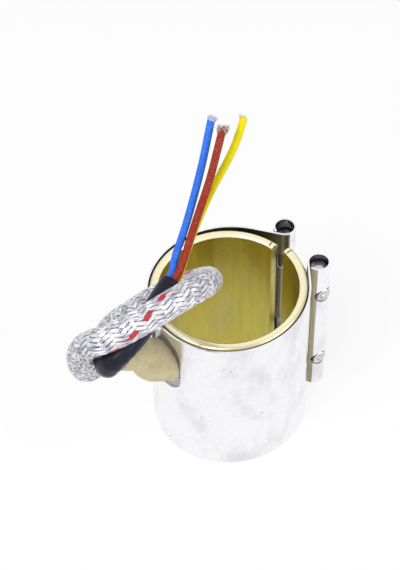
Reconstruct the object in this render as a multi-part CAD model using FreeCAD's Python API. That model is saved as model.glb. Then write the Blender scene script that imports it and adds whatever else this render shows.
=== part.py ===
import FreeCAD, Part
import math
import os

# Band heater, in millimetres. The origin is the centre of the bore at half its height and
# +Z runs along the bore. The clamp gap opens to the right and rear, the lead leaves at the
# front left. The band is bent on two arcs: the main arc about the origin, and a sprung arc
# of a slightly larger radius that opens the gap. Polar angles are in degrees from +X.

# --- driving dimensions -------------------------------------------------------------------
BORE_RADIUS = 25.0
BAND_HALF_HEIGHT = 35.0
SPRING_OPENING = 2.0          # how far the sprung arc's centre lies behind the main centre
MAIN_START = 47.0
SPRING_ANGLE = 300.0          # where the main arc passes into the sprung arc
SPRUNG_END = 33.8

LINER_SHEET = 0.5
LIP_OUTER_CORNER = 1.6
LIP_INNER_CORNER = LIP_OUTER_CORNER - LINER_SHEET
LIP_HEIGHT = 3.0
LAYER_GAP = 0.05
MICA = 0.4
CORE_MICA = 0.45
RIBBON_SHEET = 0.1
TERMINAL_SHEET = 0.2
SHEATH_SHEET = 0.5
LIP_GAP = 0.1                 # sheath to the lip's turned-down flange

INNER_MICA_R = BORE_RADIUS + LINER_SHEET + LAYER_GAP
RIBBON_INNER_R = INNER_MICA_R + MICA + LAYER_GAP
CORE_MICA_R = RIBBON_INNER_R + RIBBON_SHEET + LAYER_GAP
RIBBON_OUTER_R = CORE_MICA_R + CORE_MICA + LAYER_GAP
OUTER_MICA_R = RIBBON_OUTER_R + RIBBON_SHEET + LAYER_GAP
TERMINAL_R = OUTER_MICA_R + MICA + LAYER_GAP
SHEATH_R = TERMINAL_R + TERMINAL_SHEET + LAYER_GAP
LIP_R = SHEATH_R + SHEATH_SHEET + LIP_GAP
BAND_OUTER_R = LIP_R + LINER_SHEET
LAYER_HALF_HEIGHT = BAND_HALF_HEIGHT - LIP_OUTER_CORNER - 0.1
END_GAP = 0.15                # layers to the closed ends of the liner
SLIT_WIDTH = 0.45
SLIT_FROM_END = 1.25

RIBBON_WIDTH = 1.6
RIBBON_MARGIN = 2.3           # from the layers' edge to the ribbon's turns
RIBBON_HALF_HEIGHT = LAYER_HALF_HEIGHT - RIBBON_MARGIN
RIBBON_BRIDGE = 0.4
MAIN_PITCH_DEG = 9.1
MAIN_TURNS = 27
SPRUNG_PITCH_DEG = 8.6
SPRUNG_TURNS = 10

STRAP_SHEET = 0.7
STRAP_CLEARANCE = 0.3
STRAP_INSET = 0.6
STRAP_HALF_HEIGHT = BAND_HALF_HEIGHT - STRAP_INSET
STRAP_R = BAND_OUTER_R + STRAP_CLEARANCE
BACK_ANGLE = 165.0            # the strap leaves the band here on a wider arc
BACK_LEAVE = 72.8             # and runs straight to the rear sleeve from here
BACK_OFFSET = 1.5
SLEEVE_R = 3.6
SLEEVE_SWEEP = 320.0
SLEEVE_OUTER_R = SLEEVE_R + STRAP_SHEET
REAR_SLEEVE_TANGENT = 13.1
FRONT_SLEEVE_Y = 11.3

SCREW_HEIGHT = 19.25
BARREL_R = 3.4
BARREL_CHAMFER = 0.4
TAPPED_BARREL_RECESS = 4.4    # below the sleeve's end
PLAIN_BARREL_RECESS = 2.65
SCREW_R = 1.95                # M4, thread left plain
SCREW_LENGTH = 25.0
THREAD_CLEARANCE = 0.07
PLAIN_HOLE_R = 2.2
HEAD_R = 2.9
HEAD_HEIGHT = 3.5
HEAD_CHAMFER = 0.3
HEX_ACROSS_FLATS = 2.5
HEX_DEPTH = 2.0
SPOT_FACE = 0.7               # seat of the head, beyond the plain barrel's axis
SPOT_CLEARANCE = 0.3
HEAD_GAP = 0.05
HEAD_HOLE_CLEARANCE = 0.5
SLOT_HALF_WIDTH = 5.0
CUT_MARGIN = 2.0              # how far a cutter runs past what it cuts
SCREW_SLOT_HEIGHT = 5.2
REAR_SLOT_HEIGHT = 8.0

PLATE_HEIGHT = 30.8
PLATE_HALF_WIDTH = 11.0
PLATE_GAP = 0.2               # to the lip's flange
PLATE_TOP = BAND_HALF_HEIGHT - LIP_HEIGHT - PLATE_GAP
WINDOW_WIDTH = 16.8
WINDOW_HEIGHT = 29.5
WINDOW_TOP = PLATE_TOP - 0.1
WINDOW_BOTTOM = WINDOW_TOP - WINDOW_HEIGHT
OUTLET_ANGLE = 216.0
OUTLET_HEIGHT = PLATE_TOP - 14.8
BUSH_AZIMUTH = 214.0
BUSH_RISE = 38.0
BUSH_ORIGIN_R = 30.7
BUSH_LENGTH = 22.0
BUSH_BORE_R = 3.3
FOOT_DEPTH = 6.0              # the foot is cut to the plate from this far inside
FOOT_R = 7.9
SHOULDER_R = 8.0
SHOULDER_START = 4.2
SHOULDER_END = 5.2
BREAK_R = 6.45                # where the rounded shoulder meets the hollow towards the neck
BREAK_AT = 9.5
SHOULDER_BULGE = 0.2
HOLLOW_BULGE = -0.45
NECK_R = 4.05
NECK_START = 14.2
OUTLET_HOLE_R = 3.5
WIRE_R = 1.3
TAIL_R = 1.25
TAIL_CORE_R = 0.6
CRIMP_BORE_R = 0.65
TAIL_OFFSET = 1.6
CRIMP_START = -0.6
CRIMP_END = 3.9
TERMINAL_HALF_WIDTH = 1.2
TERMINAL_HEIGHT = OUTLET_HEIGHT - 2.5
TERMINAL_SPREAD_DEG = 3.2
TERMINAL_TAB_R = 29.8
TERMINAL_TAB_DEG = 0.3

BRAID_R = 4.5
SLEEVE_TUBE_R = 3.8
WIRE_BUNDLE_R = 1.55
WIRE_LEAD_OUT = 3.5

# The lead's route after the bush: round to the left, across the front, over the bore,
# back along the rim and under the front strand. Chosen by hand.
LEAD_ROUTE = [
    (-46.9, -36.3, 39.0), (-49.0, -41.7, 43.6), (-50.1, -46.0, 51.4), (-49.9, -49.7, 61.0),
    (-48.3, -52.8, 69.3), (-45.4, -55.4, 75.5), (-40.6, -57.3, 79.3), (-34.9, -56.3, 81.6),
    (-27.7, -52.9, 83.3), (-20.1, -48.7, 84.9), (-13.4, -42.2, 83.1), (-8.5, -35.3, 78.5),
    (-6.4, -26.6, 70.2), (-6.7, -17.6, 60.7), (-9.0, -10.0, 51.4), (-14.4, -6.2, 45.0),
    (-20.2, -5.9, 41.4), (-26.0, -8.0, 40.2), (-31.2, -11.7, 39.8), (-36.1, -15.9, 40.2),
    (-40.4, -21.3, 42.2), (-42.6, -28.9, 46.2), (-42.2, -37.0, 50.6), (-40.8, -44.3, 54.6),
]
SLEEVE_ROUTE = [
    (-40.9, -53.5, 60.7), (-39.9, -57.8, 67.2), (-34.6, -55.9, 72.3), (-29.6, -48.4, 71.3),
    (-25.4, -37.0, 68.7), (-19.1, -27.2, 70.9),
]
WIRE_ROUTES = {
    "blue_wire": (180.0, [(-18.1, -19.9, 74.3), (-14.6, -14.2, 80.8),
                          (-10.7, -8.0, 91.8), (-7.6, -3.0, 102.0),
                          (-5.9, 0.3, 108.9), (-4.4, 3.2, 115.0)]),
    "brown_wire": (300.0, [(-14.4, -19.8, 75.6), (-11.4, -14.4, 82.6),
                           (-8.2, -10.3, 90.7), (-5.2, -7.2, 99.1),
                           (-2.9, -3.3, 106.8), (-1.0, -0.2, 113.2)]),
    "yellow_wire": (60.0, [(-14.2, -16.2, 72.2), (-11.5, -11.4, 77.6),
                           (-5.7, -5.6, 89.8), (0.2, -0.6, 98.8),
                           (4.3, 4.4, 105.0), (6.4, 8.6, 110.4)]),
}

# --- geometry helpers ---------------------------------------------------------------------
ORIGIN = FreeCAD.Vector(0, 0, 0)
UP = FreeCAD.Vector(0, 0, 1)


def polar(angle, radius=1.0, z=0.0):
    """The point at a polar angle and radius about the Z axis."""
    a = math.radians(angle)
    return FreeCAD.Vector(radius * math.cos(a), radius * math.sin(a), z)


SPRING_CENTRE = polar(SPRING_ANGLE) * -SPRING_OPENING
SPRUNG_START = SPRING_ANGLE - 360.0


def sector(centre, r_in, r_out, start, end, z_low, z_high):
    """A block between two radii, two angles and two heights."""
    corners = [(r_in, z_low), (r_out, z_low), (r_out, z_high), (r_in, z_high)]
    points = [FreeCAD.Vector(r, 0, z) for r, z in corners]
    face = Part.Face(Part.makePolygon(points + points[:1]))
    return turned(face, centre, start, end)


def turned(face, centre, start, end):
    """Revolve a face drawn in the XZ plane about a vertical axis through a centre."""
    face = face.copy()
    face.rotate(ORIGIN, UP, start)
    face.translate(centre)
    return face.revolve(centre, UP, end - start)


def fused(shapes):
    """One clean solid from shapes that touch."""
    shapes = list(shapes)
    if len(shapes) == 1:
        return shapes[0]
    return shapes[0].multiFuse(shapes[1:]).removeSplitter()


def degrees_of(length, radius):
    return math.degrees(length / radius)


def band_layer(r_in, r_out, half_height):
    """A layer of the band: both arcs, kept clear of the liner's closed ends."""
    main_trim = degrees_of(LINER_SHEET + END_GAP, BORE_RADIUS)
    sprung_trim = degrees_of(LINER_SHEET + END_GAP, BORE_RADIUS + SPRING_OPENING)
    return fused([
        sector(ORIGIN, r_in, r_out, MAIN_START + main_trim, SPRING_ANGLE,
               -half_height, half_height),
        sector(SPRING_CENTRE, r_in + SPRING_OPENING, r_out + SPRING_OPENING,
               SPRUNG_START, SPRUNG_END - sprung_trim, -half_height, half_height),
    ])


def rod(start, end, radius):
    axis = end - start
    return Part.makeCylinder(radius, axis.Length, start, axis)


def box_about(centre, x_dir, half_x, half_y, half_z):
    """A box centred on a point, with its first side along a horizontal direction."""
    box = Part.makeBox(2 * half_x, 2 * half_y, 2 * half_z, FreeCAD.Vector(-half_x, -half_y, -half_z))
    box.rotate(ORIGIN, UP, math.degrees(math.atan2(x_dir.y, x_dir.x)))
    box.translate(centre)
    return box


# --- liner --------------------------------------------------------------------------------
def liner_profiles(shift):
    """The liner's upper and lower sections: half the bore wall with a lip rolled outwards."""
    r_in = BORE_RADIUS + shift
    r_out = BAND_OUTER_R + shift
    inner = r_in + LINER_SHEET
    flange = r_out - LINER_SHEET
    top = BAND_HALF_HEIGHT
    big = LIP_OUTER_CORNER
    small = LIP_INNER_CORNER
    diagonal = 1 - math.sqrt(0.5)

    def at(r, z):
        return FreeCAD.Vector(r, 0, z)

    def lip(side):
        outline = [
            Part.LineSegment(at(r_in, 0), at(r_in, side * (top - big))),
            Part.Arc(at(r_in, side * (top - big)),
                     at(r_in + big * diagonal, side * (top - big * diagonal)),
                     at(r_in + big, side * top)),
            Part.LineSegment(at(r_in + big, side * top), at(r_out - big, side * top)),
            Part.Arc(at(r_out - big, side * top),
                     at(r_out - big * diagonal, side * (top - big * diagonal)),
                     at(r_out, side * (top - big))),
            Part.LineSegment(at(r_out, side * (top - big)), at(r_out, side * (top - LIP_HEIGHT))),
            Part.LineSegment(at(r_out, side * (top - LIP_HEIGHT)),
                             at(flange, side * (top - LIP_HEIGHT))),
            Part.LineSegment(at(flange, side * (top - LIP_HEIGHT)), at(flange, side * (top - big))),
            Part.LineSegment(at(flange, side * (top - big)),
                             at(flange - small, side * (top - LINER_SHEET))),
            Part.LineSegment(at(flange - small, side * (top - LINER_SHEET)),
                             at(inner + small, side * (top - LINER_SHEET))),
            Part.LineSegment(at(inner + small, side * (top - LINER_SHEET)),
                             at(inner, side * (top - big))),
            Part.LineSegment(at(inner, side * (top - big)), at(inner, 0)),
            Part.LineSegment(at(inner, 0), at(r_in, 0)),
        ]
        return Part.Face(Part.Wire([piece.toShape() for piece in outline]))

    return [lip(1), lip(-1)]


def closed_end(shift, centre, start, end):
    """The liner's end wall, folded across the layers."""
    return sector(centre, BORE_RADIUS + shift, LIP_R + shift, start, end,
                  LIP_OUTER_CORNER - BAND_HALF_HEIGHT, BAND_HALF_HEIGHT - LIP_OUTER_CORNER)


def lip_slit(centre, shift, start, end):
    """The folded corner's slit, cut through a lip beside a closed end."""
    return sector(centre, INNER_MICA_R + shift, BAND_OUTER_R + shift + 1, start, end,
                  BAND_HALF_HEIGHT - LIP_HEIGHT - 1, BAND_HALF_HEIGHT + 1)


def make_brass_liner():
    walls = [turned(half, ORIGIN, MAIN_START, SPRING_ANGLE) for half in liner_profiles(0)]
    walls += [turned(half, SPRING_CENTRE, SPRUNG_START, SPRUNG_END)
              for half in liner_profiles(SPRING_OPENING)]
    sprung_r = BORE_RADIUS + SPRING_OPENING
    main_wall = degrees_of(LINER_SHEET, BORE_RADIUS)
    sprung_wall = degrees_of(LINER_SHEET, sprung_r)
    ends = [
        closed_end(0, ORIGIN, MAIN_START, MAIN_START + main_wall),
        closed_end(SPRING_OPENING, SPRING_CENTRE, SPRUNG_END - sprung_wall, SPRUNG_END),
    ]
    main_slit = MAIN_START + degrees_of(SLIT_FROM_END, BORE_RADIUS)
    sprung_slit = SPRUNG_END - degrees_of(SLIT_FROM_END, sprung_r)
    slits = []
    for centre, shift, place, width in (
            (ORIGIN, 0, main_slit, degrees_of(SLIT_WIDTH, BORE_RADIUS)),
            (SPRING_CENTRE, SPRING_OPENING, sprung_slit, -degrees_of(SLIT_WIDTH, sprung_r))):
        slit = lip_slit(centre, shift, place, place + width)
        slits += [slit, slit.mirror(ORIGIN, UP)]
    return fused(walls + ends).cut(slits)


# --- heating element ----------------------------------------------------------------------
def ribbon_places():
    """Centre, radius shift, angle and step of each outer ribbon run, from the rear end on."""
    places = [(ORIGIN, 0, SPRING_ANGLE - k * MAIN_PITCH_DEG, MAIN_PITCH_DEG)
              for k in range(MAIN_TURNS, 0, -1)]
    places += [(SPRING_CENTRE, SPRING_OPENING, SPRUNG_START + k * SPRUNG_PITCH_DEG, SPRUNG_PITCH_DEG)
               for k in range(SPRUNG_TURNS + 1)]
    return places


def ribbon_run(centre, shift, radius, angle):
    half = degrees_of(RIBBON_WIDTH / 2, radius + shift)
    return sector(centre, radius + shift, radius + shift + RIBBON_SHEET, angle - half, angle + half,
                  -RIBBON_HALF_HEIGHT, RIBBON_HALF_HEIGHT)


def ribbon_bridge(centre, shift, start, end, side):
    """The ribbon's turn over the core's edge, from an outer run to an inner one."""
    half = degrees_of(RIBBON_WIDTH / 2, RIBBON_OUTER_R)
    low = RIBBON_HALF_HEIGHT - RIBBON_BRIDGE / 2
    z_low, z_high = sorted((side * low, side * (low + RIBBON_BRIDGE)))
    return sector(centre, RIBBON_INNER_R + shift, RIBBON_OUTER_R + shift + RIBBON_SHEET,
                  start - half, end + half, z_low, z_high)


def make_resistance_ribbon():
    pieces = []
    places = ribbon_places()
    for count, (centre, shift, angle, step) in enumerate(places):
        pieces.append(ribbon_run(centre, shift, RIBBON_OUTER_R, angle))
        if count < len(places) - 1:
            middle = angle + step / 2
            pieces.append(ribbon_run(centre, shift, RIBBON_INNER_R, middle))
            pieces.append(ribbon_bridge(centre, shift, angle, middle, 1))
            pieces.append(ribbon_bridge(centre, shift, middle, angle + step, -1))
    return fused(pieces)


def terminal_taps():
    """Where the connection strips meet the ribbon's first and last outer runs."""
    first = ribbon_places()[0]
    last = ribbon_places()[-1]
    return first[:3], last[:3]


def tap_block(centre, shift, angle, r_in, r_out, margin):
    half = degrees_of(TERMINAL_HALF_WIDTH / 2 + margin, r_in + shift)
    return sector(centre, r_in + shift, r_out + shift, angle - half, angle + half,
                  TERMINAL_HEIGHT - TERMINAL_HALF_WIDTH - margin,
                  TERMINAL_HEIGHT + TERMINAL_HALF_WIDTH + margin)


def make_outer_mica():
    mica = band_layer(OUTER_MICA_R, OUTER_MICA_R + MICA, LAYER_HALF_HEIGHT)
    windows = [tap_block(centre, shift, angle, OUTER_MICA_R - 1, OUTER_MICA_R + MICA + 1, 0.3)
               for centre, shift, angle in terminal_taps()]
    return mica.cut(windows)


def terminal_run(centre, shift, start, end):
    return sector(centre, TERMINAL_R + shift, TERMINAL_R + shift + TERMINAL_SHEET, start, end,
                  TERMINAL_HEIGHT - TERMINAL_HALF_WIDTH, TERMINAL_HEIGHT + TERMINAL_HALF_WIDTH)


def outlet_tab(angle):
    """A strip's end, bent outwards through the sheath into the bush."""
    return sector(ORIGIN, TERMINAL_R, TERMINAL_TAB_R, angle - TERMINAL_TAB_DEG,
                  angle + TERMINAL_TAB_DEG, TERMINAL_HEIGHT - TERMINAL_HALF_WIDTH,
                  TERMINAL_HEIGHT + TERMINAL_HALF_WIDTH)


def make_live_strip():
    centre, shift, angle = terminal_taps()[0]
    end = OUTLET_ANGLE - TERMINAL_SPREAD_DEG
    tap = tap_block(centre, shift, angle, RIBBON_OUTER_R + RIBBON_SHEET,
                    TERMINAL_R + TERMINAL_SHEET, 0)
    return fused([terminal_run(ORIGIN, 0, angle, end), outlet_tab(end), tap])


def make_neutral_strip():
    centre, shift, angle = terminal_taps()[1]
    start = OUTLET_ANGLE + TERMINAL_SPREAD_DEG
    tap = tap_block(centre, shift, angle, RIBBON_OUTER_R + RIBBON_SHEET,
                    TERMINAL_R + TERMINAL_SHEET, 0)
    return fused([terminal_run(ORIGIN, 0, start, SPRING_ANGLE), outlet_tab(start),
                  terminal_run(centre, shift, SPRUNG_START, angle), tap])


# --- outlet -------------------------------------------------------------------------------
BUSH_AXIS = (polar(BUSH_AZIMUTH) * math.cos(math.radians(BUSH_RISE))
             + UP * math.sin(math.radians(BUSH_RISE)))
BUSH_ORIGIN = polar(OUTLET_ANGLE, BUSH_ORIGIN_R, OUTLET_HEIGHT)
BUSH_SIDE = polar(BUSH_AZIMUTH + 90)
BUSH_OVER = BUSH_AXIS.cross(BUSH_SIDE)


def along_bush(distance, side=0.0, over=0.0):
    """A point at a distance along the bush's axis, moved sideways and across."""
    return BUSH_ORIGIN + BUSH_AXIS * distance + BUSH_SIDE * side + BUSH_OVER * over


def outlet_hole(radius):
    return rod(along_bush(-FOOT_DEPTH - CUT_MARGIN), along_bush(CUT_MARGIN), radius)


def make_outer_sheath():
    sheath = band_layer(SHEATH_R, SHEATH_R + SHEATH_SHEET, LAYER_HALF_HEIGHT)
    return sheath.cut(outlet_hole(OUTLET_HOLE_R))


def make_outlet_plate():
    half = degrees_of(PLATE_HALF_WIDTH, LIP_R)
    plate = sector(ORIGIN, LIP_R, STRAP_R - LIP_GAP, OUTLET_ANGLE - half, OUTLET_ANGLE + half,
                   PLATE_TOP - PLATE_HEIGHT, PLATE_TOP)
    return plate.cut(outlet_hole(OUTLET_HOLE_R))


def make_outlet_bush():
    """A turned ceramic bush: a flared foot, a shoulder and a straight neck."""
    bore_foot = bush_point(BUSH_BORE_R, -FOOT_DEPTH)
    foot = bush_point(FOOT_R, -FOOT_DEPTH)
    shoulder_low = bush_point(SHOULDER_R, SHOULDER_START)
    shoulder_high = bush_point(SHOULDER_R, SHOULDER_END)
    crease = bush_point(BREAK_R, BREAK_AT)
    neck = bush_point(NECK_R, NECK_START)
    neck_end = bush_point(NECK_R, BUSH_LENGTH)
    bore_end = bush_point(BUSH_BORE_R, BUSH_LENGTH)
    outline = [
        Part.LineSegment(bore_foot, foot),
        Part.LineSegment(foot, shoulder_low),
        Part.LineSegment(shoulder_low, shoulder_high),
        Part.Arc(shoulder_high, bowed(shoulder_high, crease, SHOULDER_BULGE), crease),
        Part.Arc(crease, bowed(crease, neck, HOLLOW_BULGE), neck),
        Part.LineSegment(neck, neck_end),
        Part.LineSegment(neck_end, bore_end),
        Part.LineSegment(bore_end, bore_foot),
    ]
    face = Part.Face(Part.Wire([piece.toShape() for piece in outline]))
    bush = face.revolve(BUSH_ORIGIN, BUSH_AXIS, 360)
    body = Part.makeCylinder(STRAP_R - LIP_GAP + LAYER_GAP, 4 * BAND_HALF_HEIGHT,
                             FreeCAD.Vector(0, 0, -2 * BAND_HALF_HEIGHT))
    return bush.cut(body)


def bush_point(radius, distance):
    return along_bush(distance, side=radius)


def bowed(start, end, bulge):
    """The middle of a stretch of the bush's outline, moved outwards by the bulge."""
    outward = (end - start).cross(BUSH_OVER).normalize()
    if outward.dot(BUSH_SIDE) < 0:
        outward = outward * -1
    return (start + end) * 0.5 + outward * bulge


WIRE_SEATS = {"live": (-150.0, "brown_wire_tail"), "neutral": (-30.0, "blue_wire_tail"),
              "earth": (90.0, "yellow_wire_tail")}


def in_bush(distance, seat_angle):
    offset = polar(seat_angle, TAIL_OFFSET)
    return along_bush(distance, side=offset.x, over=offset.y)


def make_crimp(seat_angle):
    start = in_bush(CRIMP_START, seat_angle)
    end = in_bush(CRIMP_END, seat_angle)
    return rod(start, end, TAIL_R).cut(rod(start, end, CRIMP_BORE_R))


def make_wire_tail(seat_angle):
    covered = rod(in_bush(CRIMP_END + LAYER_GAP, seat_angle), in_bush(BUSH_LENGTH, seat_angle), TAIL_R)
    core = rod(in_bush(CRIMP_START + 1, seat_angle), in_bush(CRIMP_END + 1, seat_angle),
               TAIL_CORE_R)
    return fused([covered, core])


# --- clamp --------------------------------------------------------------------------------
BACK_CENTRE = polar(BACK_ANGLE) * -BACK_OFFSET
BACK_R = STRAP_R + BACK_OFFSET
LEAVE_NORMAL = polar(BACK_LEAVE)
LEAVE_ALONG = polar(BACK_LEAVE - 90)
REAR_AXIS = (LEAVE_NORMAL * (BACK_CENTRE.dot(LEAVE_NORMAL) + BACK_R + SLEEVE_OUTER_R)
             + LEAVE_ALONG * REAR_SLEEVE_TANGENT)
SPRUNG_STRAP_R = STRAP_R + SPRING_OPENING
FRONT_AXIS = FreeCAD.Vector(SPRING_CENTRE.x + SPRUNG_STRAP_R + SLEEVE_OUTER_R, FRONT_SLEEVE_Y, 0)
SCREW_AXIS = (FRONT_AXIS - REAR_AXIS).normalize()


def strap_arc(centre, radius, start, end):
    return sector(centre, radius, radius + STRAP_SHEET, start, end,
                  -STRAP_HALF_HEIGHT, STRAP_HALF_HEIGHT)


def strap_straight(start, end):
    """A straight stretch whose face towards the band runs from start to end."""
    along = end - start
    outward = along.cross(UP).normalize() * STRAP_SHEET
    drop = UP * -STRAP_HALF_HEIGHT
    points = [start + drop, end + drop, end + outward + drop, start + outward + drop]
    face = Part.Face(Part.makePolygon(points + points[:1]))
    return face.extrude(UP * 2 * STRAP_HALF_HEIGHT)


def window_tool():
    """The upright window with round ends for the outlet."""
    end_r = WINDOW_WIDTH / 2
    outward = polar(OUTLET_ANGLE)
    sag = STRAP_R - math.sqrt(STRAP_R ** 2 - end_r ** 2)
    depth = sag + STRAP_SHEET + 2 * CUT_MARGIN
    start_r = STRAP_R - sag - CUT_MARGIN
    low = polar(OUTLET_ANGLE, start_r, WINDOW_BOTTOM + end_r)
    high = polar(OUTLET_ANGLE, start_r, WINDOW_TOP - end_r)
    middle = box_about((low + high) * 0.5 + outward * (depth / 2), outward, depth / 2, end_r,
                       (high.z - low.z) / 2)
    ends = [rod(point, point + outward * depth, end_r) for point in (low, high)]
    return fused(ends + [middle])


def screw_openings(height):
    """What the screws pass through: both sleeves' inner sides and the head's hole."""
    level = UP * height
    rear = box_about(REAR_AXIS + level + SCREW_AXIS * SLOT_HALF_WIDTH, SCREW_AXIS,
                     SLOT_HALF_WIDTH, SLOT_HALF_WIDTH, REAR_SLOT_HEIGHT / 2)
    front = box_about(FRONT_AXIS + level - SCREW_AXIS * SLOT_HALF_WIDTH, SCREW_AXIS,
                      SLOT_HALF_WIDTH, SLOT_HALF_WIDTH, SCREW_SLOT_HEIGHT / 2)
    head = rod(FRONT_AXIS + level,
               FRONT_AXIS + level + SCREW_AXIS * (SLEEVE_OUTER_R + CUT_MARGIN),
               HEAD_R + HEAD_HOLE_CLEARANCE)
    return [rear, front, head]


def make_clamp_strap():
    rear_seam = BACK_LEAVE + 180
    leave = BACK_CENTRE + LEAVE_NORMAL * BACK_R
    front_face = FRONT_AXIS.x - SLEEVE_OUTER_R
    strap = fused([
        strap_arc(REAR_AXIS, SLEEVE_R, rear_seam - 360, rear_seam - 360 + SLEEVE_SWEEP),
        strap_straight(REAR_AXIS + LEAVE_NORMAL * -SLEEVE_OUTER_R, leave),
        strap_arc(BACK_CENTRE, BACK_R, BACK_LEAVE, BACK_ANGLE),
        strap_arc(ORIGIN, STRAP_R, BACK_ANGLE, SPRING_ANGLE),
        strap_arc(SPRING_CENTRE, SPRUNG_STRAP_R, SPRUNG_START, 0),
        strap_straight(FreeCAD.Vector(front_face, SPRING_CENTRE.y, 0),
                       FreeCAD.Vector(front_face, FRONT_SLEEVE_Y, 0)),
        strap_arc(FRONT_AXIS, SLEEVE_R, 180 - SLEEVE_SWEEP, 180),
    ])
    tools = [window_tool()]
    for height in (SCREW_HEIGHT, -SCREW_HEIGHT):
        tools += screw_openings(height)
    return strap.cut(tools)


def make_barrel(axis, length, hole_r):
    barrel = Part.makeCylinder(BARREL_R, length, axis - UP * (length / 2))
    rims = [edge for edge in barrel.Edges
            if edge.Closed and abs(abs(edge.CenterOfMass.z) - length / 2) < 0.01]
    barrel = barrel.makeChamfer(BARREL_CHAMFER, rims)
    reach = SCREW_AXIS * (BARREL_R + CUT_MARGIN)
    holes = [rod(axis + UP * height - reach, axis + UP * height + reach, hole_r)
             for height in (SCREW_HEIGHT, -SCREW_HEIGHT)]
    return barrel.cut(holes)


def make_plain_barrel():
    barrel = make_barrel(FRONT_AXIS, 2 * (STRAP_HALF_HEIGHT - PLAIN_BARREL_RECESS), PLAIN_HOLE_R)
    seats = []
    for height in (SCREW_HEIGHT, -SCREW_HEIGHT):
        seat = FRONT_AXIS + UP * height + SCREW_AXIS * SPOT_FACE
        seats.append(rod(seat, seat + SCREW_AXIS * (BARREL_R + CUT_MARGIN), HEAD_R + SPOT_CLEARANCE))
    return barrel.cut(seats)


def make_clamp_screw(height):
    """A socket-head screw, with its head on the plain barrel and its end in the tapped one."""
    seat = FRONT_AXIS + UP * height + SCREW_AXIS * (SPOT_FACE + HEAD_GAP)
    head = Part.makeCylinder(HEAD_R, HEAD_HEIGHT, seat, SCREW_AXIS)
    crown = [edge for edge in head.Edges
             if edge.Closed and (edge.CenterOfMass - seat).dot(SCREW_AXIS) > HEAD_HEIGHT / 2]
    head = head.makeChamfer(HEAD_CHAMFER, crown)
    shank = rod(seat - SCREW_AXIS * SCREW_LENGTH, seat + SCREW_AXIS * (HEAD_HEIGHT / 4), SCREW_R)
    side = UP.cross(SCREW_AXIS)
    corner_r = HEX_ACROSS_FLATS / math.sqrt(3)
    crown_centre = seat + SCREW_AXIS * HEAD_HEIGHT
    corners = [crown_centre + side * (corner_r * math.cos(math.radians(60 * k)))
               + UP * (corner_r * math.sin(math.radians(60 * k))) for k in range(6)]
    hexagon = Part.Face(Part.makePolygon(corners + corners[:1]))
    return fused([head, shank]).cut(hexagon.extrude(SCREW_AXIS * -HEX_DEPTH))


# --- lead ---------------------------------------------------------------------------------
def cord_path(points):
    """Straight runs joined by tangent arcs, each as large as its two runs allow."""
    edges = []
    radii = []
    start = points[0]
    for before, corner, after in zip(points, points[1:], points[2:]):
        back = (before - corner)
        ahead = (after - corner)
        cut = 0.45 * min(back.Length, ahead.Length)
        back.normalize()
        ahead.normalize()
        half_turn = (math.pi - back.getAngle(ahead)) / 2
        radius = cut / math.tan(half_turn)
        radii.append(radius)
        middle_dir = (back + ahead).normalize()
        to_centre = cut / math.sin(half_turn)
        middle = corner + middle_dir * (to_centre - radius)
        entry = corner + back * cut
        leave = corner + ahead * cut
        edges.append(Part.LineSegment(start, entry).toShape())
        edges.append(Part.Arc(entry, middle, leave).toShape())
        start = leave
    edges.append(Part.LineSegment(start, points[-1]).toShape())
    return edges, radii


def make_cord(name, points, radius):
    edges, radii = cord_path(points)
    path = Part.Wire(edges)
    circle = Part.makeCircle(radius, points[0], points[1] - points[0])
    tube = path.makePipeShell([Part.Wire([circle])], True, False)
    expected = math.pi * radius ** 2 * path.Length
    print("%s: length %.1f, radii %s, volume ratio %.4f" % (
        name, path.Length, " ".join("%.1f" % r for r in radii), tube.Volume / expected))
    return tube


NECK_END = along_bush(BUSH_LENGTH)


def lead_points():
    """From the neck of the bush to the middle of the run where the sleeve begins."""
    route = [FreeCAD.Vector(*point) for point in LEAD_ROUTE]
    points = [NECK_END, NECK_END + BUSH_AXIS * 7] + route
    joint = (route[-1] + FreeCAD.Vector(*SLEEVE_ROUTE[0])) * 0.5
    return points + [joint]


def sleeve_points():
    route = [FreeCAD.Vector(*point) for point in SLEEVE_ROUTE]
    return [lead_points()[-1]] + route


def wire_points(seat_angle, route):
    """From the sleeve's end, first straight on, then out along the wire's own route."""
    end = sleeve_points()[-1]
    along = (end - sleeve_points()[-2]).normalize()
    side = (FreeCAD.Vector(1, 0, 0) - along * along.x).normalize()
    offset = polar(seat_angle, WIRE_BUNDLE_R)
    start = end + side * offset.x + along.cross(side) * offset.y
    return [start, start + along * WIRE_LEAD_OUT] + [FreeCAD.Vector(*point) for point in route]


# --- all nodes ----------------------------------------------------------------------------
def save(name, shape):
    solids = shape.Solids
    if len(solids) == 1:
        shape = solids[0]
    box = shape.BoundBox
    print("%s: solids %d, valid %s, %.0f mm3, z %.1f..%.1f" % (
        name, len(solids), shape.isValid(), shape.Volume, box.ZMin, box.ZMax))
    shape.exportStep("parts/" + name + ".step")


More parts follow.
